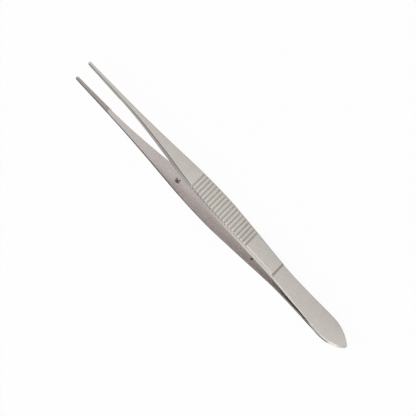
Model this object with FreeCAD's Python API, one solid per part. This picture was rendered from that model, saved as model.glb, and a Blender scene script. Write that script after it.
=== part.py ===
import FreeCAD, Part
import math
import os

# Thumb forceps, lying on its side on the floor z = 0.
# +X points to the tips, Y is the way the arms open, +Z is up.
# The origin is under the middle of the length.  Sizes are in mm.
# Most places along an arm are given as a distance from the tail end.

LENGTH = 100.0

# leaf, where the two arms are welded face to face
LEAF_HALF_WIDTH = 3.3
LEAF_WIDEST = 7.6
LEAF_THICK = 0.75
LEAF_BLEND = 13.7
WELD_NOSE = 11.0

# thin spring part, and the step up to the thick part of an arm
SPRING_THICK = 0.66
WAIST_AT = 26.5
WAIST_HALF_WIDTH = 2.67
STEP_AT = 27.5
STEP_THICK = 1.16
STEP_HOLLOW = 1.0

# grip with cross grooves
GRIP_AT = 48.5
GRIP_HALF_WIDTH = 3.43
GRIP_THICK = 1.14
GRIP_EDGE_BREAK = 0.44
GROOVE_FIRST = 37.9
GROOVE_PITCH = 1.14
GROOVE_COUNT = 19
GROOVE_WIDTH = 0.7
GROOVE_DEPTH = 0.34
GROOVE_LIP = 0.3

# guide pin on the front arm and its hole in the rear arm, which has a wide cone at its mouth
PIN_AT = 62.0
PIN_ABOVE_MIDDLE = 0.2
PIN_RADIUS = 0.3
PIN_LENGTH = 2.4
PIN_SEAT = 0.7
GUIDE_CLEARANCE = 0.06
GUIDE_HOLE_DEPTH = 0.9
GUIDE_MOUTH_RADIUS = 0.8
GUIDE_CONE_DEPTH = 0.32

# small drilled mark on the inner face of the rear arm
MARK_AT = 33.8
MARK_ABOVE_MIDDLE = 1.18
MARK_RADIUS = 0.33
MARK_DEPTH = 0.55

# jaw with a toothed pad that stands a little proud, and the round tip
PAD_START = 87.3
PAD_PROUD = 0.13
TIP_HALF_GAP = 4.51
TIP_HALF_WIDTH = 0.42
TIP_THICK = 0.58
TOOTH_PITCH = 0.32
TOOTH_DEPTH = 0.14
TOOTH_WIDTH = 0.26
TOOTH_MARGIN = 0.7

# lines along an arm: pairs of distance from the tail end and value
HALF_WIDTH = [
    (0, LEAF_HALF_WIDTH), (LEAF_WIDEST, LEAF_HALF_WIDTH), (17, 2.89),
    (WAIST_AT, WAIST_HALF_WIDTH), (40, 3.15), (GRIP_AT, GRIP_HALF_WIDTH), (55.5, 3.28),
    (62, 2.74), (71.5, 1.74), (81, 0.98), (88, 0.7), (LENGTH, TIP_HALF_WIDTH),
]
HALF_GAP = [
    (WELD_NOSE, 0), (12.2, 0.19), (14.5, 0.34), (20, 0.61), (25.7, 1.04), (36, 1.89),
    (46.5, 2.56), (57, 2.93), (68.4, 3.48), (76.5, 3.98), (81, 4.2), (88, 4.39),
    (LENGTH, TIP_HALF_GAP),
]
THICKNESS = [
    (0, STEP_THICK), (38, STEP_THICK), (47, GRIP_THICK), (54, 1.08), (61, 1.15), (68, 1.22),
    (74, 1.11), (81, 0.94), (88, 0.77), (LENGTH, TIP_THICK),
]
EDGE_BREAK = [
    (0, 0.43), (STEP_AT, 0.43), (40, GRIP_EDGE_BREAK), (52, 0.42), (60, 0.31),
    (68, 0.28), (76, 0.27), (84, 0.22), (88, 0.17), (LENGTH, 0.06),
]
SIDE_DRAFT = [(12, 0.0), (32, 0.2), (LENGTH, 0.2)]
SECTION_COUNT = 17

# stock beyond the finished faces, taken off by the later cuts
MARGIN = 0.4
RUN_OUT = 1.0
BIG = 12.0


def vec(x, y, z):
    return FreeCAD.Vector(x, y, z)


def follow(line, x):
    # value of a smooth line at x: level before its first point, straight past its last
    if x <= line[0][0]:
        return line[0][1]
    if x >= line[-1][0]:
        (x0, y0), (x1, y1) = line[-2], line[-1]
        return y1 + (x - x1) * (y1 - y0) / (x1 - x0)
    slopes = []
    for i in range(len(line)):
        before = line[max(i - 1, 0)]
        after = line[min(i + 1, len(line) - 1)]
        slopes.append((after[1] - before[1]) / (after[0] - before[0]))
    for i in range(len(line) - 1):
        (x0, y0), (x1, y1) = line[i], line[i + 1]
        if x <= x1:
            span = x1 - x0
            t = (x - x0) / span
            a = (1 + 2 * t) * (1 - t) ** 2 * y0
            b = t * (1 - t) ** 2 * span * slopes[i]
            c = t * t * (3 - 2 * t) * y1
            d = t * t * (t - 1) * span * slopes[i + 1]
            return a + b + c + d


def bow(x):
    # half of the gap between the arms, measured to the plain inner face
    return follow(HALF_GAP, x)


def outer(x):
    return bow(x) + follow(THICKNESS, x)


def pad(x):
    # half of the gap between the pads, which are flat
    back = bow(PAD_START) - PAD_PROUD
    tip = TIP_HALF_GAP - PAD_PROUD
    return back + (tip - back) * (x - PAD_START) / (LENGTH - PAD_START)


def spline(points):
    curve = Part.BSplineCurve()
    curve.interpolate([vec(x, y, 0) for x, y in points])
    return curve.toShape()


def prism(edges, low, high):
    wire = Part.Wire(edges)
    face = Part.Face(wire)
    face.translate(vec(0, 0, low))
    return face.extrude(vec(0, 0, high - low))


def chain(points):
    return [Part.makeLine(vec(*a), vec(*b)) for a, b in zip(points, points[1:])]


def section(x):
    # flat inner face, drafted sides, broken outer edges, flat outer face
    draft = follow(SIDE_DRAFT, x)
    corner = follow(EDGE_BREAK, x)
    inside = bow(x) - MARGIN
    back = outer(x)
    shoulder = back - corner
    wide = follow(HALF_WIDTH, x) + draft * MARGIN
    upper = follow(HALF_WIDTH, x) - draft * (shoulder - bow(x))
    points = [
        vec(x, inside, -wide), vec(x, shoulder, -upper), vec(x, back, corner - upper),
        vec(x, back, upper - corner), vec(x, shoulder, upper), vec(x, inside, wide),
    ]
    return Part.makePolygon(points + points[:1])


def forging():
    step = (LENGTH + 2 * RUN_OUT) / (SECTION_COUNT - 1)
    places = [i * step - RUN_OUT for i in range(SECTION_COUNT)]
    return Part.makeLoft([section(x) for x in places], True, False)


def inner_space():
    # everything on the inner side of the arm: weld face, bowed inner face, step, flat pad
    line = [point for point in HALF_GAP if point[0] < PAD_START]
    line.append((PAD_START, bow(PAD_START)))
    end = LENGTH + 2 * RUN_OUT
    edges = chain([(end, -BIG, 0), (-BIG, -BIG, 0), (-BIG, 0, 0), (WELD_NOSE, 0, 0)])
    edges.append(spline(line))
    edges += chain([
        (PAD_START, bow(PAD_START), 0), (PAD_START, pad(PAD_START), 0),
        (end, pad(end), 0), (end, -BIG, 0),
    ])
    return prism(edges, -BIG, BIG)


def spring_back(x):
    return bow(x) + SPRING_THICK


def outer_space():
    # everything outside the leaf and the spring part; a round hollow climbs the step
    rise = STEP_THICK - SPRING_THICK
    climb = min(rise, STEP_HOLLOW)
    foot = STEP_AT - math.sqrt(climb * (2 * STEP_HOLLOW - climb))
    turn = math.sqrt(0.5) * STEP_HOLLOW
    low = vec(foot, spring_back(foot), 0)
    mid = low + vec(turn, STEP_HOLLOW - turn, 0)
    high = low + vec(STEP_HOLLOW, STEP_HOLLOW, 0)
    places = [LEAF_BLEND, 0.5 * (LEAF_BLEND + foot), foot]
    line = [(LEAF_WIDEST, LEAF_THICK)] + [(x, spring_back(x)) for x in places]
    edges = chain([(-BIG, BIG, 0), (-BIG, LEAF_THICK, 0), (LEAF_WIDEST, LEAF_THICK, 0)])
    edges.append(spline(line))
    edges.append(Part.Arc(low, mid, high).toShape())
    edges += chain([(high.x, high.y, 0), (high.x, BIG, 0), (-BIG, BIG, 0)])
    return prism(edges, -BIG, BIG)


def outline():
    # pointed leaf at the tail, open sides, round end at the tip, seen from outside
    bulge = (LEAF_WIDEST ** 2 + LEAF_HALF_WIDTH ** 2) / (2 * LEAF_HALF_WIDTH)

    def on_leaf(x, side):
        away = LEAF_WIDEST - x
        half = math.sqrt(bulge ** 2 - away ** 2) - bulge + LEAF_HALF_WIDTH
        return vec(x, 0, side * half)

    side = []
    for sign in (1, -1):
        half_way = on_leaf(LEAF_WIDEST / 2, sign)
        widest = on_leaf(LEAF_WIDEST, sign)
        side.append(Part.Arc(vec(0, 0, 0), half_way, widest).toShape())
    wide = BIG
    round_start = LENGTH - TIP_HALF_WIDTH
    edges = [side[0]]
    edges += chain([
        (LEAF_WIDEST, 0, LEAF_HALF_WIDTH), (LEAF_WIDEST, 0, wide), (round_start, 0, wide),
        (round_start, 0, TIP_HALF_WIDTH),
    ])
    edges.append(Part.Arc(
        vec(round_start, 0, TIP_HALF_WIDTH), vec(LENGTH, 0, 0),
        vec(round_start, 0, -TIP_HALF_WIDTH)).toShape())
    edges += chain([
        (round_start, 0, -TIP_HALF_WIDTH), (round_start, 0, -wide), (LEAF_WIDEST, 0, -wide),
        (LEAF_WIDEST, 0, -LEAF_HALF_WIDTH),
    ])
    edges.append(side[1])
    face = Part.Face(Part.Wire(Part.__sortEdges__(edges)))
    face.translate(vec(0, -BIG, 0))
    return face.extrude(vec(0, 2 * BIG, 0))


def notch(width, depth):
    # one straight vee across an arm, its open side towards +Y
    over = width / 2 * (depth + GROOVE_LIP) / depth
    edges = chain([
        (0, -depth, 0), (over, GROOVE_LIP, 0), (-over, GROOVE_LIP, 0), (0, -depth, 0),
    ])
    return prism(edges, -BIG, BIG)


def grip_grooves():
    cuts = []
    for i in range(GROOVE_COUNT):
        x = GROOVE_FIRST + i * GROOVE_PITCH
        lean = math.degrees(math.atan((outer(x + 0.5) - outer(x - 0.5))))
        cut = notch(GROOVE_WIDTH, GROOVE_DEPTH)
        cut.rotate(vec(0, 0, 0), vec(0, 0, 1), lean)
        cut.translate(vec(x, outer(x), 0))
        cuts.append(cut)
    return Part.makeCompound(cuts)


def jaw_teeth(shift):
    cuts = []
    first = PAD_START + TOOTH_MARGIN + shift
    count = int((LENGTH - TIP_HALF_WIDTH - first) / TOOTH_PITCH) + 1
    for i in range(count):
        x = first + i * TOOTH_PITCH
        cut = notch(TOOTH_WIDTH, TOOTH_DEPTH)
        cut.rotate(vec(0, 0, 0), vec(0, 0, 1), 180)
        cut.translate(vec(x, pad(x), 0))
        cuts.append(cut)
    return Part.makeCompound(cuts)


def into_metal(x):
    # direction square to the inner face of an arm
    direction = vec(bow(x - 0.5) - bow(x + 0.5), 1, 0)
    return direction.normalize()


def drill(x, above, radius, depth):
    # straight hole of a depth, square to the inner face
    into = into_metal(x)
    mouth = vec(x, bow(x), above) - into * RUN_OUT
    return Part.makeCylinder(radius, depth + RUN_OUT, mouth, into)


def guide_mouth():
    # cone from the mouth of the guide hole down to its bore
    into = into_metal(PIN_AT)
    mouth = vec(PIN_AT, bow(PIN_AT), PIN_ABOVE_MIDDLE)
    bore = PIN_RADIUS + GUIDE_CLEARANCE
    cone = Part.makeCone(GUIDE_MOUTH_RADIUS, bore, GUIDE_CONE_DEPTH, mouth, into)
    free = Part.makeCylinder(GUIDE_MOUTH_RADIUS, RUN_OUT, mouth - into * RUN_OUT, into)
    return cone.fuse(free)


def arm(shift):
    body = forging().cut(inner_space()).cut(outer_space()).common(outline())
    body = body.cut(grip_grooves()).cut(jaw_teeth(shift))
    return body.Solids[0]


def front_side(shape):
    return shape.mirror(vec(0, 0, 0), vec(0, 1, 0))


def rear_arm():
    body = arm(0.0)
    hole = drill(PIN_AT, PIN_ABOVE_MIDDLE, PIN_RADIUS + GUIDE_CLEARANCE, GUIDE_HOLE_DEPTH)
    mark = drill(MARK_AT, MARK_ABOVE_MIDDLE, MARK_RADIUS, MARK_DEPTH)
    return body.cut(hole).cut(guide_mouth()).cut(mark)


def front_arm():
    seat = drill(PIN_AT, PIN_ABOVE_MIDDLE, PIN_RADIUS, PIN_SEAT)
    return front_side(arm(TOOTH_PITCH / 2).cut(seat))


def guide_pin():
    # round bar in the seat of the front arm, with a ball end towards the rear arm
    into = into_metal(PIN_AT)
    root = vec(PIN_AT, bow(PIN_AT), PIN_ABOVE_MIDDLE) + into * PIN_SEAT
    straight = PIN_SEAT + PIN_LENGTH - PIN_RADIUS
    bar = Part.makeCylinder(PIN_RADIUS, straight, root, into * -1)
    end = Part.makeSphere(PIN_RADIUS, root - into * straight)
    return front_side(bar.fuse(end).removeSplitter())


def save(shape, node):
    placed = shape.copy()
    placed.translate(vec(-LENGTH / 2, 0, GRIP_HALF_WIDTH))
    placed.exportStep("parts/" + node + ".step")
    box = placed.BoundBox
    print(node, placed.isValid(), len(placed.Solids), round(placed.Volume, 2),
          round(box.XMin, 2), round(box.XMax, 2), round(box.YMin, 2),
          round(box.YMax, 2), round(box.ZMin, 2), round(box.ZMax, 2))


os.makedirs("parts", exist_ok=True)
save(front_arm(), "front_arm")
save(rear_arm(), "rear_arm")
save(guide_pin(), "guide_pin")
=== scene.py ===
import math

import bmesh
import bpy
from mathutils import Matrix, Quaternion, Vector


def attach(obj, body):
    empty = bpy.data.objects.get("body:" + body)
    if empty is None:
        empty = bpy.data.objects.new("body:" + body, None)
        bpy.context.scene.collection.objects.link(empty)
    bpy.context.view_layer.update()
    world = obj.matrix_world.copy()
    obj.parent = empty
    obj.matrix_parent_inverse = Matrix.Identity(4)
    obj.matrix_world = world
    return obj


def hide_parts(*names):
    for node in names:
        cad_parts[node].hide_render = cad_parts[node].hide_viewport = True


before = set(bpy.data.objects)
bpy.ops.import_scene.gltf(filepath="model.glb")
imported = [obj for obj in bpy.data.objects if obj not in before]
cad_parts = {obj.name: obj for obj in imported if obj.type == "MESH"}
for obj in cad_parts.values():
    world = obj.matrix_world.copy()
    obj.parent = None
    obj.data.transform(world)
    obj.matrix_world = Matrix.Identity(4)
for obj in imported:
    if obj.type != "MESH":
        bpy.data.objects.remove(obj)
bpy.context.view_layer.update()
mm = 0.001
print("frame loaded:", ", ".join(sorted(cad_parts)))


# shader maths

class Wire:
    # one node output that Python sums can use; each sum adds its Math node
    def __init__(self, tree, socket):
        self.tree, self.socket = tree, socket

    def maths(self, operation, first, second):
        return addNode(self.tree, "ShaderNodeMath", {"operation": operation}, {0: first, 1: second})

    def __add__(self, other):
        return self.maths("ADD", self, other)

    def __sub__(self, other):
        return self.maths("SUBTRACT", self, other)

    def __rsub__(self, other):
        return self.maths("SUBTRACT", other, self)

    def __mul__(self, other):
        return self.maths("MULTIPLY", self, other)

    __radd__ = __add__
    __rmul__ = __mul__

    def out(self, name):
        return Wire(self.tree, self.socket.node.outputs[name])

    def axis(self, name):
        return addNode(self.tree, "ShaderNodeSeparateXYZ", None, {0: self}, name)

    def distanceTo(self, point):
        return addNode(self.tree, "ShaderNodeVectorMath", {"operation": "DISTANCE"},
                       {0: self, 1: point}, "Value")

    def fade(self, start, end, low=0.0, high=1.0):
        # low up to the start, high from the end on, and even between the two
        return addNode(self.tree, "ShaderNodeMapRange", None,
                       {0: self, 1: start, 2: end, 3: low, 4: high})


def addNode(tree, kind, settings=None, inputs=None, output=0):
    node = tree.nodes.new(kind)
    for name, value in (settings or {}).items():
        setattr(node, name, value)
    for name, value in (inputs or {}).items():
        if isinstance(value, Wire):
            tree.links.new(value.socket, node.inputs[name])
        else:
            node.inputs[name].default_value = value
    return Wire(tree, node.outputs[output]) if node.outputs else node


def newMaterial(name):
    material = bpy.data.materials.new(name)
    material.use_nodes = True
    material.node_tree.nodes.clear()
    return material, material.node_tree


def opaque(colour):
    return (*colour, 1.0)


def blendColours(tree, share, first, second):
    def plain(colour):
        return colour if isinstance(colour, Wire) else opaque(colour)
    return addNode(tree, "ShaderNodeMix", {"data_type": "RGBA"},
                   {0: share, 6: plain(first), 7: plain(second)}, 2)


# satin steel

satin = {
    "colour": (0.63, 0.597, 0.562),
    "paleColour": (0.67, 0.637, 0.6),
    # painted light: inner faces are painted lighter, and lighter again towards the tail where the arms
    # close in
    "innerPaintedLightColour": (0.66, 0.6, 0.59),
    "innerTailPaintedLightColour": (0.77, 0.72, 0.715),
    # colour of the painted highlight on rounded edges, also used to lighten the grip
    "paintedHighlightColour": (0.75, 0.73, 0.69),
    # colour of the painted shade laid into hollows, corners, down-facing faces and the holes
    "paintedShadeColour": (0.3, 0.28, 0.27),
    "blotches": {"Scale": 0.35, "Detail": 4.0, "Roughness": 0.6},
    "specks": {"Scale": 5.0, "Detail": 3.0, "Roughness": 0.65},
    "streaks": {"Scale": 1.0, "Detail": 3.0, "Roughness": 0.6},
    "streakScale": (350, 9000, 9000),   # per metre, so streaks run lengthwise
    "mottleMix": (0.6, 0.4),            # of blotches and specks
    "mottleFade": (0.35, 0.65),
    "roughness": 0.27,
    "roughnessSwing": 0.08,
    "pitRoughness": 0.12,
    "edgePolish": 0.06,
    "grainMix": (0.7, 0.3),             # of streaks and specks
    "grainHeight": 0.02,                # mm
    "grainBump": 0.12,
    "edgeRadius": 0.12,                 # mm
    "edgeFade": (0.995, 0.9),           # how well a face agrees with a rounded normal
    # how strongly rounded edges take the painted highlight
    "edgeHighlightShare": 0.3,
    "pitReach": 0.5,                    # mm
    "pitFade": (0.35, 0.9),             # how much of a face is open to the air
    # painted shade in hollows found by the ambient occlusion, deeper between the pad's teeth
    "pitShadeShare": 0.08,
    "padPitShadeShare": 0.25,
    "innerFade": (-0.02, -0.06),        # of a face's direction times its place, both across
    # how much of the painted light the inner faces take
    "innerLightShare": 0.9,
    # painted light: how much the grooved grip's outer faces are lightened
    "gripLightShare": 0.55,
    "samples": 6,                       # for the two nodes that look round a point
    "smoothAngle": 36,                  # degrees
    "normalWeight": 80,
}
# Places where painted light or painted shade goes on the steel: grip and innerTail are painted lighter,
# pad deepens the painted shade in hollows, and the rest take painted shade. A place is a product of fades,
# and each says what it reads and the values that it fades between. Along and across are
# places in mm from the middle of the object, fromGuide and fromMark are distances
# in mm, and up and forward are parts of the direction that a face looks in.
satinPlaces = {
    "grip": [("up", 0.4, 0.2), ("along", -13.0, -6.0), ("along", 12.0, 8.0)],
    "pad": [("along", 36.5, 37.5)],
    "innerTail": [("along", 18.0, 6.0)],
    "stepHollow": [("forward", -0.22, -0.42), ("along", -24.2, -23.9), ("along", -21.6, -21.9)],
    "underside": [("up", -0.2, -0.6)],
    "jawSide": [("up", 0.45, 0.65), ("along", -11.0, 2.0)],
    "jawSideFlat": [("up", 0.85, 0.95), ("along", 2.0, 12.0)],
    "tailSide": [("up", 0.7, 0.95), ("along", -29.0, -33.0), ("along", -45.5, -41.0),
                 ("across", -0.8, 0.8, 0.25, 1.0)],
    "guideMouth": [("fromGuide", 0.95, 0.7)],
    "markRim": [("fromMark", 0.55, 0.42)],
}
# shares of painted shade at each place: the step's hollow, down-facing faces, the jaws' and tail's sides
# and round the holes
paintedShadeShares = {
    "stepHollow": 0.8,
    "underside": 0.75,
    "jawSide": 0.4,
    "markRim": 0.7,
    "tailSide": 0.6,
    "guideMouth": 0.6,
}
jawFlatShadeRelief = 0.34                    # how much less painted shade the flat of a jaw's side gets
spotDepth = 0.24                        # mm into the steel from the mouth of a drilled hole


def insideHole(size):
    # place in a drilled hole of the rear arm, in mm from the middle of the object
    at, high = size["at"], armShape["middleHeight"] + size["aboveMiddle"]
    return (at - armShape["length"] / 2, bow(at) + spotDepth, high)


def findPlaces(inMm, faceNormal):
    reads = {
        "along": inMm.axis("X"),
        "across": inMm.axis("Y"),
        "up": faceNormal.axis("Z"),
        "forward": faceNormal.axis("X"),
        "fromGuide": inMm.distanceTo(insideHole(guide)),
        "fromMark": inMm.distanceTo(insideHole(mark)),
    }
    masks = {}
    for place, fades in satinPlaces.items():
        mask, *others = [reads[name].fade(*ends) for name, *ends in fades]
        for other in others:
            mask = mask * other
        masks[place] = mask
    return masks


def satinSteel(name, s):
    material, tree = newMaterial(name)
    place = addNode(tree, "ShaderNodeTexCoord", output="Object")
    inMm = addNode(tree, "ShaderNodeMapping", None, {"Vector": place, "Scale": (1 / mm, 1 / mm, 1 / mm)})
    drawn = addNode(tree, "ShaderNodeMapping", None, {"Vector": place, "Scale": s["streakScale"]})
    blotches = addNode(tree, "ShaderNodeTexNoise", None, {"Vector": inMm, **s["blotches"]})
    specks = addNode(tree, "ShaderNodeTexNoise", None, {"Vector": inMm, **s["specks"]})
    streaks = addNode(tree, "ShaderNodeTexNoise", None, {"Vector": drawn, **s["streaks"]})
    faceNormal = addNode(tree, "ShaderNodeNewGeometry", output="True Normal")
    masks = findPlaces(inMm, faceNormal)

    # an inner face looks towards the middle and is painted lighter, as painted light between the arms; at
    # an edge a rounded normal leaves the face's own, and there the edge takes a painted highlight
    inner = (faceNormal.axis("Y") * inMm.axis("Y")).fade(*s["innerFade"])
    roundNormal = addNode(tree, "ShaderNodeBevel", {"samples": s["samples"]},
                          {"Radius": s["edgeRadius"] * mm})
    agree = addNode(tree, "ShaderNodeVectorMath", {"operation": "DOT_PRODUCT"},
                    {0: faceNormal, 1: roundNormal}, "Value")
    openness = addNode(tree, "ShaderNodeAmbientOcclusion", {"samples": s["samples"], "only_local": True},
                       {"Distance": s["pitReach"] * mm}, "AO")
    pit = openness.fade(*s["pitFade"], 1.0, 0.0)
    edge = agree.fade(*s["edgeFade"]) * (1 - pit)

    mottled = (blotches * s["mottleMix"][0] + specks * s["mottleMix"][1]).fade(*s["mottleFade"])
    # painted light: inner faces take a lighter colour, lighter again towards the tail
    innerPaintedLightColour = blendColours(tree, masks["innerTail"], s["innerPaintedLightColour"], s["innerTailPaintedLightColour"])
    colour = blendColours(tree, mottled, s["colour"], s["paleColour"])
    # painted light: the grooved grip's outer faces are lightened
    colour = blendColours(tree, masks["grip"] * s["gripLightShare"], colour, s["paintedHighlightColour"])
    colour = blendColours(tree, inner * s["innerLightShare"], colour, innerPaintedLightColour)
    # painted shade: hollows that the ambient occlusion finds are darkened, more so on the pad's teeth
    pitShadeShare = masks["pad"] * s["padPitShadeShare"] + s["pitShadeShare"]
    colour = blendColours(tree, pit * pitShadeShare, colour, s["paintedShadeColour"])
    # painted highlight along rounded edges; the lower roughness there is real polish
    colour = blendColours(tree, edge * s["edgeHighlightShare"], colour, s["paintedHighlightColour"])
    # painted shade at each listed place, less on the flat of a jaw's side
    shares = {**paintedShadeShares, "jawSide": paintedShadeShares["jawSide"] - masks["jawSideFlat"] * jawFlatShadeRelief}
    for spot, share in shares.items():
        colour = blendColours(tree, masks[spot] * share, colour, s["paintedShadeColour"])

    swing = ((streaks - 0.5) + (specks - 0.5)) * s["roughnessSwing"]
    rough = swing + s["roughness"] + pit * s["pitRoughness"] - edge * s["edgePolish"]
    relief = streaks * s["grainMix"][0] + specks * s["grainMix"][1]
    bump = addNode(tree, "ShaderNodeBump", None,
                   {"Strength": s["grainBump"], "Distance": s["grainHeight"] * mm, "Height": relief})
    shader = addNode(tree, "ShaderNodeBsdfPrincipled", None, {
        "Base Color": colour, "Metallic": 1.0, "Roughness": rough, "Normal": bump,
    })
    addNode(tree, "ShaderNodeOutputMaterial", None, {"Surface": shader})
    print(name, "mixed")
    return material


# shape of an arm

# Every place along an arm is its distance from the tail end, in mm.
# An arm is shaped on the +Y side; the front arm is its mirror image.
armShape = {
    "length": 100.0,
    "middleHeight": 3.43,
    "halfWidth": [
        (0, 3.3), (7.6, 3.3), (17, 2.89), (26.5, 2.67), (40, 3.15), (48.5, 3.43),
        (55.5, 3.28), (62, 2.74), (71.5, 1.74), (81, 0.98), (88, 0.7), (100, 0.42),
    ],
    "halfGap": [
        (11, 0), (12.2, 0.19), (14.5, 0.34), (20, 0.61), (25.7, 1.04), (36, 1.89),
        (46.5, 2.56), (57, 2.93), (68.4, 3.48), (76.5, 3.98), (81, 4.2), (88, 4.39),
        (100, 4.51),
    ],
    "thickness": [
        (0, 1.16), (38, 1.16), (47, 1.14), (54, 1.08), (61, 1.15), (68, 1.22),
        (74, 1.11), (81, 0.94), (88, 0.77), (100, 0.58),
    ],
    "edgeBreak": [
        (0, 0.43), (27.5, 0.43), (40, 0.44), (52, 0.42), (60, 0.31),
        (68, 0.28), (76, 0.27), (84, 0.22), (88, 0.17), (100, 0.06),
    ],
    "sideDraft": [(12, 0.0), (32, 0.2), (100, 0.2)],
    "edgeSoftness": 0.18,       # share of a broken edge that is rounded at each end
    "innerRound": 0.07,
}
# shares of a section's thickness and half width that its corners may take at most
cornerShares = {
    "edge": (0.42, 0.6),
    "inner": (0.2, 0.4),
    "flatBack": 0.3,            # share of the half width that the outer face keeps
}
leaf = {
    "widest": 7.6,
    "halfWidth": 3.3,
    "thick": 0.75,
    "blendEnd": 13.7,
    "pointRound": 0.15,
    "leastHalfWidth": 0.03,
    "edgeRound": 0.09,
}
spring = {
    "thick": 0.66,
    "stepAt": 27.5,
    "hollow": 1.0,
    "hollowSteps": 9,
    "stepLip": 0.06,
}
grooves = {
    "first": 37.9,
    "pitch": 1.14,
    "count": 19,
    "width": 0.7,
    "depth": 0.34,
    "lip": 0.05,
    "lipDepth": 0.1,            # share of the depth at the foot of the lip
}
pad = {
    "start": 87.3,
    "proud": 0.13,
    "toothPitch": 0.32,
    "toothDepth": 0.14,
    "toothWidth": 0.26,
    "toothMargin": 0.7,
    "cutterLip": 0.04,
    "cutterLength": 4.0,
}
tip = {
    "round": 0.42,
    "outerRound": 0.2,
    "leastHalfWidth": 0.06,
    "steps": 7,
}
# places of the sections; the hollow, the grooves and the tip add their own
sections = {
    "thin": [
        0, 0.03, 0.09, 0.2, 0.5, 0.9, 1.4, 2, 2.8, 3.6, 4.4, 5.2, 6, 6.8, 7.6, 8.4, 9.2, 10.2,
        11, 11.6, 12.2, 12.9, 13.7, 14.5, 16, 17.3, 18.6, 20, 21.4, 22.8, 24.2, 25.6,
    ],
    "thick": [
        28.4, 29.6, 31, 32.4, 33.8, 35.2, 36.5, 59.8, 61, 62.3, 63.8, 65.4, 67, 68.7, 70.4, 72.2,
        74, 75.8, 77.6, 79.4, 81.2, 83, 84.6, 86.1,
    ],
    "pad": [88.6, 90.4, 92.3, 94.2, 96, 97.8, 99.1],
    "seam": 0.01,               # between a sharp step and the section beside it
}
# the bar that an arm is made from, on the +Y side of the middle
blank = {
    "inside": 2.0,
    "outside": 6.0,
    "halfWidth": 3.5,
    "edge": 0.4,
    "outerCuts": 3,
    "innerCuts": 1,
}
cutTolerance = 1e-7             # metres


def follow(line, x):
    # smooth line through pairs of place and value, level before the first and after the last
    if x <= line[0][0]:
        return line[0][1]
    if x >= line[-1][0]:
        return line[-1][1]
    slopes = []
    for i in range(len(line)):
        before, after = line[max(i - 1, 0)], line[min(i + 1, len(line) - 1)]
        slopes.append((after[1] - before[1]) / (after[0] - before[0]))
    for i in range(len(line) - 1):
        (x0, y0), (x1, y1) = line[i], line[i + 1]
        if x <= x1:
            span = x1 - x0
            t = (x - x0) / span
            return ((1 + 2 * t) * (1 - t) ** 2 * y0 + t * (1 - t) ** 2 * span * slopes[i]
                    + t * t * (3 - 2 * t) * y1 + t * t * (t - 1) * span * slopes[i + 1])


def bow(x):
    return follow(armShape["halfGap"], x)


def padLine(x):
    back = bow(pad["start"]) - pad["proud"]
    end = bow(armShape["length"]) - pad["proud"]
    return back + (end - back) * (x - pad["start"]) / (armShape["length"] - pad["start"])


def halfWidth(x):
    if x < leaf["widest"]:
        bulge = (leaf["widest"] ** 2 + leaf["halfWidth"] ** 2) / (2 * leaf["halfWidth"])
        away = leaf["widest"] - x
        wide = math.sqrt(bulge ** 2 - away ** 2) - bulge + leaf["halfWidth"]
        blunt = leaf["pointRound"] ** 2 - max(leaf["pointRound"] - x, 0) ** 2
        return max(wide, math.sqrt(blunt), leaf["leastHalfWidth"])
    wide = follow(armShape["halfWidth"], x)
    past = x - (armShape["length"] - tip["round"])
    if past > 0:
        end = math.sqrt(max(tip["round"] ** 2 - past ** 2, 0))
        wide = min(wide, max(end, tip["leastHalfWidth"]))
    return wide


def hollowFoot():
    # where the round hollow that climbs the step leaves the spring part
    rise = follow(armShape["thickness"], spring["stepAt"]) - spring["thick"]
    return spring["stepAt"] - math.sqrt(rise * (2 * spring["hollow"] - rise))


def backOf(x, thick):
    # outer face: leaf, blend, spring part, hollow at the step, then the thick part
    top = bow(x) + follow(armShape["thickness"], x)
    if thick:
        past = x - (armShape["length"] - tip["outerRound"])
        if past > 0:
            top -= tip["outerRound"] - math.sqrt(max(tip["outerRound"] ** 2 - past ** 2, 0))
        return top - max(spring["stepAt"] + spring["stepLip"] - x, 0)
    if x <= leaf["widest"]:
        return leaf["thick"]
    if x < leaf["blendEnd"]:
        t = (x - leaf["widest"]) / (leaf["blendEnd"] - leaf["widest"])
        end = bow(leaf["blendEnd"]) + spring["thick"]
        return leaf["thick"] + (end - leaf["thick"]) * t * t * (3 - 2 * t)
    foot, hollow = hollowFoot(), spring["hollow"]
    if x <= foot:
        return bow(x) + spring["thick"]
    climb = hollow - math.sqrt(max(hollow ** 2 - (x - foot) ** 2, 0))
    return min(bow(foot) + spring["thick"] + climb, top - spring["stepLip"])


def stationList():
    # (place, thick part or not, depth of the groove there, on the pad or not)
    length, step, foot, seam = armShape["length"], spring["stepAt"], hollowFoot(), sections["seam"]
    found = [(x, False, 0, False) for x in sections["thin"]]
    steepest = math.asin((step - foot) / spring["hollow"])
    for i in range(spring["hollowSteps"] + 1):
        climbed = foot + spring["hollow"] * math.sin(steepest * i / spring["hollowSteps"])
        found.append((min(round(climbed, 2), step - seam), False, 0, False))
    found += [(x, True, 0, False) for x in [step, step + spring["stepLip"]] + sections["thick"]]
    half, lip = grooves["width"] / 2, grooves["lip"]
    for i in range(grooves["count"]):
        x = grooves["first"] + i * grooves["pitch"]
        found.append((x, True, grooves["depth"], False))
        for side in (-1, 1):
            found.append((x + side * (half + lip), True, 0, False))
            found.append((x + side * (half - lip), True, grooves["lipDepth"] * grooves["depth"], False))
    found += [(pad["start"] - seam, True, 0, False), (pad["start"] + seam, True, 0, True)]
    found += [(x, True, 0, True) for x in sections["pad"]]
    for i in range(tip["steps"] + 1):
        angle = math.pi / 2 * i / tip["steps"]
        found.append((length - tip["round"] * (1 - math.sin(angle)), True, 0, True))
    return sorted({(round(x, 3), *rest) for x, *rest in found})


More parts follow.
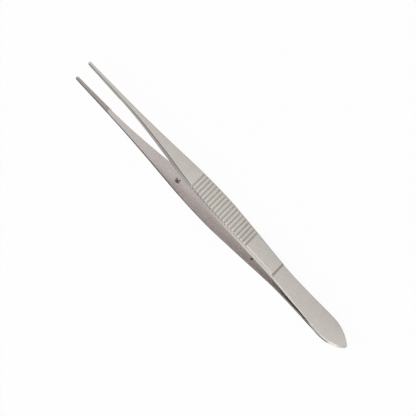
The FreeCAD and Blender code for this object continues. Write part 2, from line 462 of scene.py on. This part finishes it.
def sectionAt(x, thick, depth, onPad):
    # half of a section as six (Y, Z) points, from the inner face round to the outer face
    inside = padLine(x) if onPad else bow(x)
    wide, back = halfWidth(x), backOf(x, thick)
    draft = follow(armShape["sideDraft"], x)
    corner = follow(armShape["edgeBreak"], x)
    if not thick:
        corner = max(back - (bow(x) + follow(armShape["thickness"], x) - corner), leaf["edgeRound"])

    def limited(size, shares):
        return min(size, shares[0] * (back - inside), shares[1] * wide)

    def side(y):
        return wide - draft * (y - bow(x))

    corner = limited(corner, cornerShares["edge"])
    inner = limited(armShape["innerRound"], cornerShares["inner"])
    soft = armShape["edgeSoftness"] * corner
    shoulder = back - corner
    edge = side(shoulder)
    low = back - depth
    return [
        (inside, wide - inner),
        (inside + inner, side(inside + inner)),
        (shoulder - soft, side(shoulder - soft)),
        (min(shoulder + soft, low), edge - soft),
        (min(back - soft, low), edge - corner + soft),
        (low, max(edge - corner - soft, cornerShares["flatBack"] * wide)),
    ]


# bench work

def pickUp(piece):
    bpy.ops.object.select_all(action="DESELECT")
    piece.select_set(True)
    bpy.context.view_layer.objects.active = piece


def startEditing(piece):
    pickUp(piece)
    bpy.ops.object.mode_set(mode="EDIT")
    bpy.ops.mesh.select_mode(type="VERT")
    bpy.ops.mesh.select_all(action="SELECT")


def stopEditing():
    bpy.ops.object.mode_set(mode="OBJECT")


def selectNumbered(numbers):
    mesh = bmesh.from_edit_mesh(bpy.context.object.data)
    for v in mesh.verts:
        v.select = v.index in numbers
    mesh.select_flush_mode()


def selectWhere(kind, test):
    # kind is verts, edges or faces, and the test is given the places of a part's corners
    mesh = bmesh.from_edit_mesh(bpy.context.object.data)
    bpy.ops.mesh.select_all(action="DESELECT")
    for part in getattr(mesh, kind):
        if test([part.co] if kind == "verts" else [v.co for v in part.verts]):
            part.select = True
    mesh.select_flush_mode()


def cutAcross(place, direction):
    bpy.ops.mesh.select_all(action="SELECT")
    bpy.ops.mesh.bisect(plane_co=place, plane_no=direction, threshold=cutTolerance)


def faceOutwards():
    bpy.ops.mesh.select_all(action="SELECT")
    bpy.ops.mesh.normals_make_consistent(inside=False)


def fixPlace():
    bpy.ops.object.transform_apply(location=True, rotation=True, scale=True)


def applyModifier(piece, kind, **settings):
    pickUp(piece)
    modifier = piece.modifiers.new(kind.lower(), kind)
    for name, value in settings.items():
        setattr(modifier, name, value)
    bpy.ops.object.modifier_apply(modifier=modifier.name)


def copyPiece(piece, name):
    twin = piece.copy()
    twin.data = piece.data.copy()
    twin.name = name
    bpy.context.scene.collection.objects.link(twin)
    return twin


def cutAway(body, cutter):
    applyModifier(body, "BOOLEAN", operation="DIFFERENCE", solver="EXACT", object=cutter)
    bpy.data.objects.remove(cutter)


def mirrorToFront(piece):
    startEditing(piece)
    bpy.ops.transform.resize(value=(1, -1, 1), center_override=(0, 0, 0))
    faceOutwards()
    stopEditing()


def setSquare(piece, at, above):
    # turns a piece made along +Z so that it points out of the inner face at this place,
    # whose slope is taken over 1 mm
    out = Vector((bow(at + 0.5) - bow(at - 0.5), -1, 0)).normalized()
    piece.rotation_mode = "QUATERNION"
    piece.rotation_quaternion = out.to_track_quat("Z", "X")
    piece.location = Vector((at - armShape["length"] / 2, bow(at), armShape["middleHeight"] + above)) * mm
    pickUp(piece)
    fixPlace()


def finishSteel(piece, material, node):
    pickUp(piece)
    bpy.ops.object.shade_smooth_by_angle(angle=math.radians(satin["smoothAngle"]))
    applyModifier(piece, "WEIGHTED_NORMAL", mode="FACE_AREA", weight=satin["normalWeight"], keep_sharp=True)
    piece.data.materials.clear()
    piece.data.materials.append(material)
    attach(piece, "root")
    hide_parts(node)


# arms

def makeBlank(name):
    # a square bar with its long edges bevelled, the outer ones in more cuts than the inner ones
    length, low, high = armShape["length"] * mm, blank["inside"] * mm, blank["outside"] * mm
    bpy.ops.object.select_all(action="DESELECT")
    bpy.ops.mesh.primitive_cube_add(size=1, location=(0, (low + high) / 2, 0),
                                    scale=(length, high - low, 2 * blank["halfWidth"] * mm))
    bar = bpy.context.object
    bar.name = name
    fixPlace()
    startEditing(bar)
    bpy.ops.mesh.select_mode(type="EDGE")
    for outer, cuts in ((True, blank["outerCuts"]), (False, blank["innerCuts"])):
        selectWhere("edges", lambda ends: abs(ends[0].x - ends[1].x) > length / 2
                    and (ends[0].y > (low + high) / 2) == outer)
        bpy.ops.mesh.bevel(offset=blank["edge"] * mm, segments=cuts, profile=0.5, affect="EDGES")
    bpy.ops.mesh.select_mode(type="VERT")
    return bar


def forgeArm(name):
    # the blank is cut across at each station, and each ring is pulled to its section
    bar = makeBlank(name)
    stations = stationList()
    for x, *rest in stations[1:-1]:
        cutAcross(((x - armShape["length"] / 2) * mm, 0, 0), (1, 0, 0))
    mesh = bmesh.from_edit_mesh(bar.data)
    rings = {}
    for v in mesh.verts:
        place = round(v.co.x / mm + armShape["length"] / 2, 3)
        row = (round(v.co.y / mm, 3), round(abs(v.co.z) / mm, 3))
        rings.setdefault(place, {}).setdefault(row, set()).add(v.index)
    print(name, "has", len(rings), "sections for", len(stations), "stations")
    middle = (blank["inside"] + blank["outside"]) / 2
    for place, (x, *rest) in zip(sorted(rings), stations):
        rows = sorted(rings[place], key=lambda row: math.atan2(row[1], middle - row[0]))
        for row, (y, z) in zip(rows, sectionAt(x, *rest)):
            selectNumbered(rings[place][row])
            bpy.ops.transform.resize(value=(1, y / row[0], z / row[1]), center_override=(0, 0, 0))
    bpy.ops.mesh.select_all(action="SELECT")
    bpy.ops.transform.translate(value=(0, 0, armShape["middleHeight"] * mm))
    faceOutwards()
    stopEditing()
    return bar


def toothCutter(shift):
    # one bar with three sides, which cuts a vee across the pad, repeated along it
    length, deep = armShape["length"], pad["toothDepth"]
    first = pad["start"] + pad["toothMargin"] + shift
    count = int((length - tip["round"] - first) / pad["toothPitch"]) + 1
    slope = (padLine(length) - padLine(pad["start"])) / (length - pad["start"])
    tall = deep + pad["cutterLip"]
    radius = tall / 1.5         # an even triangle is one and a half radii tall
    evenHalfBase = radius * math.sin(math.radians(60))
    halfBase = pad["toothWidth"] / 2 * tall / deep
    bpy.ops.object.select_all(action="DESELECT")
    bpy.ops.mesh.primitive_cylinder_add(vertices=3, radius=radius * mm, depth=pad["cutterLength"] * mm,
                                        location=(0, 0, 0))
    cutter = bpy.context.object
    startEditing(cutter)
    bpy.ops.transform.resize(value=(halfBase / evenHalfBase, 1, 1), center_override=(0, 0, 0))
    bpy.ops.transform.translate(value=((first - length / 2) * mm, (padLine(first) + deep - radius) * mm,
                                       armShape["middleHeight"] * mm))
    faceOutwards()
    stopEditing()
    applyModifier(cutter, "ARRAY", count=count, use_relative_offset=False, use_constant_offset=True,
                  constant_offset_displace=(pad["toothPitch"] * mm, slope * pad["toothPitch"] * mm, 0))
    return cutter


# guide hole, pin and drilled mark

guide = {
    "at": 62.0,
    "aboveMiddle": 0.2,
    "pinRadius": 0.3,
    "pinLength": 2.4,
    "pinSeat": 0.7,
    "domeShare": 0.97,          # of the pin's radius that the free end rounds off
    "domeCuts": 10,
    "rootEdge": 0.06,
    "rootCuts": 2,
    "holeRadius": 0.36,
    "holeDepth": 0.9,
    "mouthRadius": 0.8,
    "coneDepth": 0.32,
    "seatRelief": 0.02,
    "sides": 48,
}
mark = {
    "at": 33.8,
    "aboveMiddle": 1.18,
    "radius": 0.33,
    "depth": 0.55,
    "relief": 0.04,
    "sides": 32,
}
drillPoint = {
    "height": 0.25,             # share of the radius
    "tip": 0.05,                # share of the radius that stays flat
}
drillOver = 1.0                 # how far a drill stands out of the steel
nearby = 0.01                   # how far from an end its edges and faces are looked for


def drillBit(size, radius, depth, mouth, cone):
    # a drill with its point, and a cone where it enters
    bpy.ops.object.select_all(action="DESELECT")
    bpy.ops.mesh.primitive_cylinder_add(vertices=size["sides"], radius=radius * mm,
                                        depth=(depth + drillOver) * mm,
                                        location=(0, 0, (drillOver - depth) / 2 * mm))
    bit = bpy.context.object
    fixPlace()
    startEditing(bit)
    for z in (0, -cone):
        cutAcross((0, 0, z * mm), (0, 0, 1))
    selectWhere("verts", lambda corners: corners[0].z > -0.5 * cone * mm)
    bpy.ops.transform.resize(value=(mouth / radius, mouth / radius, 1), center_override=(0, 0, 0))
    bpy.ops.mesh.select_mode(type="FACE")
    selectWhere("faces", lambda corners: max(c.z for c in corners) < (nearby - depth) * mm)
    bpy.ops.mesh.extrude_region_move(
        TRANSFORM_OT_translate={"value": (0, 0, -drillPoint["height"] * radius * mm)})
    bpy.ops.transform.resize(value=(drillPoint["tip"], drillPoint["tip"], 1), center_override=(0, 0, 0))
    faceOutwards()
    stopEditing()
    setSquare(bit, size["at"], size["aboveMiddle"])
    return bit


def makeArms(material):
    rear = forgeArm("rearArm")
    front = copyPiece(rear, "frontArm")
    cutAway(rear, toothCutter(0))
    cutAway(front, toothCutter(pad["toothPitch"] / 2))
    cutAway(rear, drillBit(guide, guide["holeRadius"], guide["holeDepth"],
                           guide["mouthRadius"], guide["coneDepth"]))
    cutAway(rear, drillBit(mark, mark["radius"], mark["depth"],
                           mark["radius"] + mark["relief"], mark["relief"]))
    cutAway(front, drillBit(guide, guide["pinRadius"], guide["pinSeat"],
                            guide["pinRadius"] + guide["seatRelief"], guide["seatRelief"]))
    mirrorToFront(front)
    finishSteel(rear, material, "rear_arm")
    finishSteel(front, material, "front_arm")
    print("arms ready")


def makePin(material):
    # a short bar with a domed free end, square to the front arm's inner face
    radius, long, seat = guide["pinRadius"], guide["pinLength"], guide["pinSeat"]
    bpy.ops.object.select_all(action="DESELECT")
    bpy.ops.mesh.primitive_cylinder_add(vertices=guide["sides"], radius=radius * mm,
                                        depth=(long + seat) * mm, location=(0, 0, (long - seat) / 2 * mm))
    pin = bpy.context.object
    pin.name = "guidePin"
    fixPlace()
    startEditing(pin)
    bpy.ops.mesh.select_mode(type="EDGE")
    selectWhere("edges", lambda ends: min(ends[0].z, ends[1].z) > (long - nearby) * mm)
    bpy.ops.mesh.bevel(offset=guide["domeShare"] * radius * mm, segments=guide["domeCuts"],
                       profile=0.5, affect="EDGES")
    selectWhere("edges", lambda ends: max(ends[0].z, ends[1].z) < (nearby - seat) * mm)
    bpy.ops.mesh.bevel(offset=guide["rootEdge"] * mm, segments=guide["rootCuts"], affect="EDGES")
    stopEditing()
    setSquare(pin, guide["at"], guide["aboveMiddle"])
    mirrorToFront(pin)
    finishSteel(pin, material, "guide_pin")
    print("pin ready")


# studio and camera

# A softbox is its place, the point that it faces, its width and height, all in metres,
# and how bright its face is. The card stands behind the object, out of view, and
# shades what the steel reflects.
studio = {
    "worldLevel": 0.3,
    "floorSize": 4.0,
    "floorColour": (0.9, 0.9, 0.88),
    "floorGlow": 0.95,
    "floorGlowInSteel": 0.4,
    "cardEnds": (-0.075, 0.1),
    "cardBehind": 0.06,
    "cardHeight": 0.042,
    "cardColour": (0.15, 0.15, 0.15),
    "softboxColour": (1.0, 0.99, 0.97),
    "softboxes": {
        "keySoftbox": ((-0.66, -0.6, 0.7), (-0.66, -0.6, 0), (1.08, 0.8), 0.72),
        "middleSoftbox": ((-0.55, 0.165, 0.7), (-0.55, 0.165, 0), (1.3, 0.73), 0.58),
        "backSoftbox": ((-0.6, 1.115, 0.7), (-0.6, 1.115, 0), (1.2, 1.17), 1.1),
        "tailSoftbox": ((-0.75, 0.95, 0.3), (0, 0, 0), (0.9, 0.5), 1.0),
        "frontSoftbox": ((0, -1.2, 0.45), (0, 0, 0), (1.8, 0.8), 1.2),
        "sideSoftbox": ((0.85, 0.3, 0.7), (0.85, 0.3, 0), (0.9, 1.2), 1.4),
    },
}
viewpoint = {
    "aimAt": (1.43, 0.0, 4.69),     # mm
    "distance": 500.0,              # mm
    "azimuth": 2.2,                 # degrees, as the next two
    "elevation": 32.12,
    "roll": -134.65,
    "lens": 166.0,
    "sensor": 36.0,
    "nearest": 0.01,                # metres, as the next
    "farthest": 20.0,
}


def makeWorld(s):
    world = bpy.data.worlds.new("studioWorld")
    bpy.context.scene.world = world
    world.use_nodes = True
    tree = world.node_tree
    tree.nodes.clear()
    light = addNode(tree, "ShaderNodeBackground", None,
                    {"Strength": s["worldLevel"], "Color": opaque((1, 1, 1))})
    addNode(tree, "ShaderNodeOutputWorld", None, {"Surface": light})


def makeFloor(s):
    bpy.ops.object.select_all(action="DESELECT")
    bpy.ops.mesh.primitive_plane_add(size=s["floorSize"])
    floor = bpy.context.object
    floor.name = "floor"
    material, tree = newMaterial("paleFloor")
    seen = addNode(tree, "ShaderNodeLightPath", output="Is Camera Ray")
    shown = addNode(tree, "ShaderNodeMath", {"operation": "MAXIMUM"}, {
        0: seen * s["floorGlow"], 1: seen.out("Is Glossy Ray") * s["floorGlowInSteel"],
    })
    plain = addNode(tree, "ShaderNodeBsdfDiffuse", None, {"Color": opaque(s["floorColour"])})
    glow = addNode(tree, "ShaderNodeEmission", None, {"Color": opaque((1, 1, 1)), "Strength": 1.0})
    shader = addNode(tree, "ShaderNodeMixShader", None, {0: shown, 1: plain, 2: glow})
    addNode(tree, "ShaderNodeOutputMaterial", None, {"Surface": shader})
    floor.data.materials.append(material)


def makeCard(s):
    (left, right), tall = s["cardEnds"], s["cardHeight"]
    bpy.ops.object.select_all(action="DESELECT")
    bpy.ops.mesh.primitive_plane_add(size=1, location=((left + right) / 2, s["cardBehind"], tall / 2),
                                     rotation=(math.pi / 2, 0, 0))
    card = bpy.context.object
    card.name = "card"
    card.scale = (right - left, tall, 1)
    fixPlace()
    card.visible_camera = card.visible_shadow = card.visible_diffuse = False
    material, tree = newMaterial("greyCard")
    grey = addNode(tree, "ShaderNodeBsdfDiffuse", None, {"Color": opaque(s["cardColour"])})
    addNode(tree, "ShaderNodeOutputMaterial", None, {"Surface": grey})
    card.data.materials.append(material)


def hangSoftboxes(s):
    for name, (place, aim, size, bright) in s["softboxes"].items():
        data = bpy.data.lights.new(name, "AREA")
        data.shape = "RECTANGLE"
        data.size, data.size_y = size
        data.energy = math.pi * size[0] * size[1] * bright      # gives the face that brightness
        data.color = s["softboxColour"]
        lamp = bpy.data.objects.new(name, data)
        bpy.context.scene.collection.objects.link(lamp)
        lamp.location = place
        lamp.rotation_mode = "QUATERNION"
        lamp.rotation_quaternion = (Vector(place) - Vector(aim)).to_track_quat("Z", "Y")


def makeStudio(s):
    makeWorld(s)
    makeFloor(s)
    makeCard(s)
    hangSoftboxes(s)
    bpy.context.scene.view_settings.view_transform = "Standard"
    print("studio ready")


def makeCamera(v):
    side, rise = math.radians(v["azimuth"]), math.radians(v["elevation"])
    back = Vector((math.sin(side) * math.cos(rise), -math.cos(side) * math.cos(rise), math.sin(rise)))
    data = bpy.data.cameras.new("photoView")
    data.sensor_width = v["sensor"]
    data.lens = v["lens"]
    data.clip_start, data.clip_end = v["nearest"], v["farthest"]
    camera = bpy.data.objects.new("photoView", data)
    bpy.context.scene.collection.objects.link(camera)
    camera.rotation_mode = "QUATERNION"
    roll = Quaternion((0, 0, 1), math.radians(v["roll"]))
    camera.rotation_quaternion = back.to_track_quat("Z", "Y") @ roll
    camera.location = (Vector(v["aimAt"]) + back * v["distance"]) * mm
    bpy.context.scene.camera = camera
    print("camera ready")


makeCamera(viewpoint)
makeStudio(studio)
makeArms(satinSteel("satinSteel", satin))
makePin(satinSteel("pinSteel", satin))
